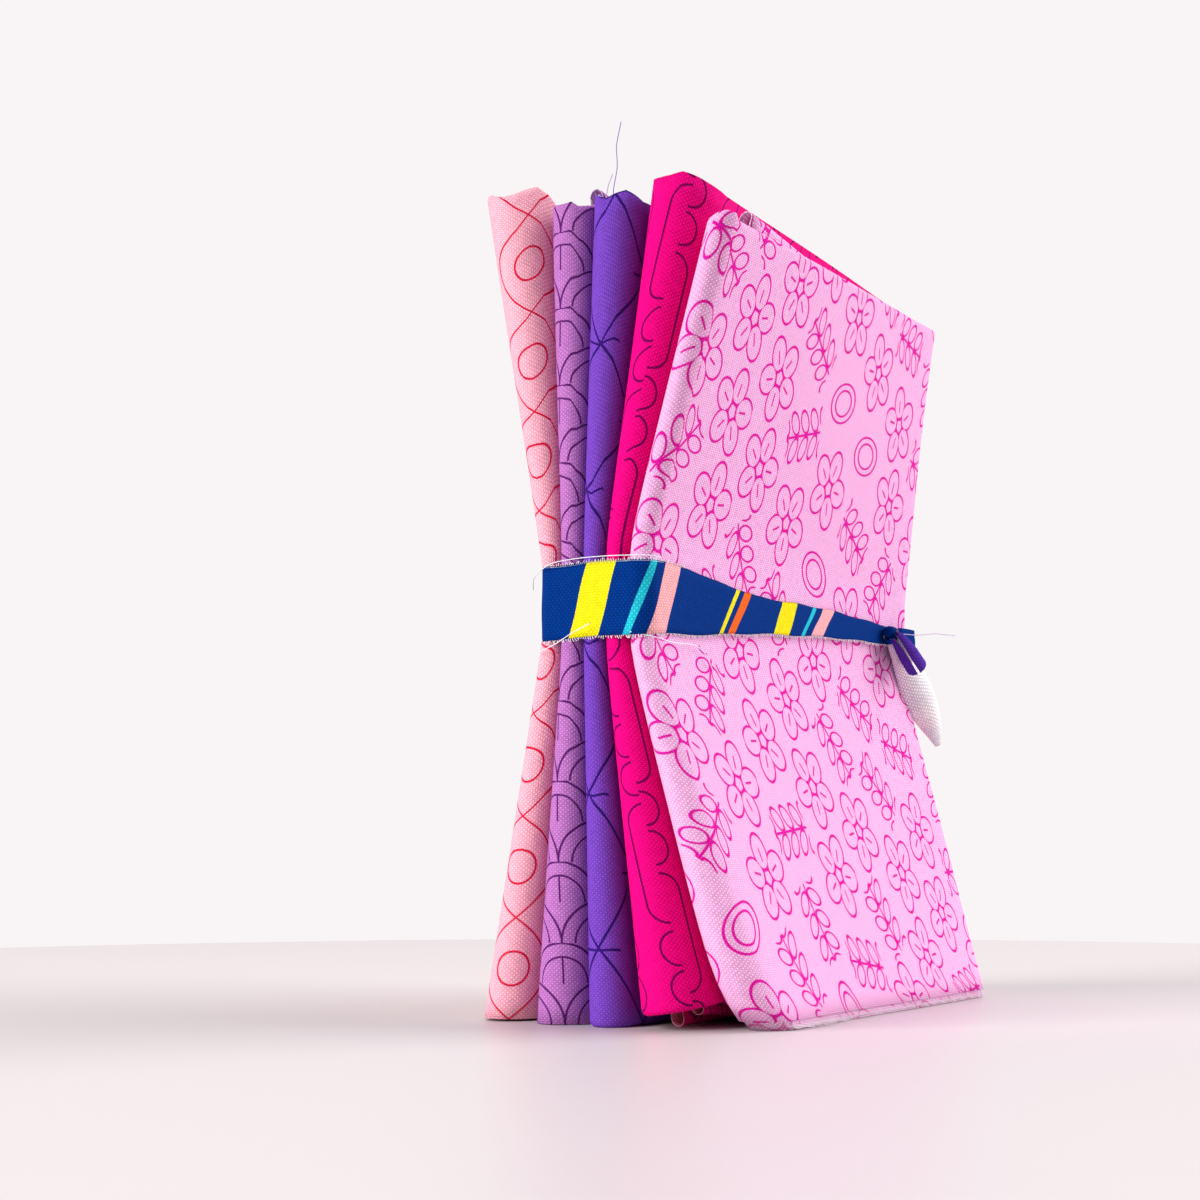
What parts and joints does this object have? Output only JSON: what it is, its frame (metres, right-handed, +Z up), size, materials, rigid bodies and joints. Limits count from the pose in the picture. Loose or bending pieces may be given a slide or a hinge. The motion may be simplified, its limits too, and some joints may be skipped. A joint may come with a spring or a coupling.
{
  "type": "fat quarter bundle",
  "caption": "Stack of folded cotton quilting cloths standing on end, drawn in at the waist by a knotted cloth strip, for storing or showing sewing fabric.",
  "frame": {"origin": "under the middle of the bundle's outline, on the surface it stands on", "axes": "+Z up; X from the rounded spines at -X to the far edges at +X; Y across the stack, with the front cloth and the knot at -Y"},
  "size_m": [0.1212, 0.0616, 0.1501],
  "materials": {
    "coral_cotton": "matt plain weave cotton, coral pink printed with red line work",
    "lavender_cotton": "matt plain weave cotton, lavender printed with dark purple line work",
    "violet_cotton": "matt plain weave cotton, blue violet printed with navy line work",
    "magenta_cotton": "matt plain weave cotton, hot pink printed with plum line work",
    "lilac_cotton": "matt plain weave cotton, pale lilac pink printed with magenta line work",
    "tie_cotton": "matt plain weave cotton strip, cobalt blue printed with slanting colour bands, raw edges"
  },
  "bodies": {
    "root": {"coral_cloth": "coral_cotton", "lavender_cloth": "lavender_cotton", "violet_cloth": "violet_cotton", "magenta_cloth": "magenta_cotton", "lilac_cloth": "lilac_cotton", "tie_strip": "tie_cotton"}
  },
  "joints": []
}
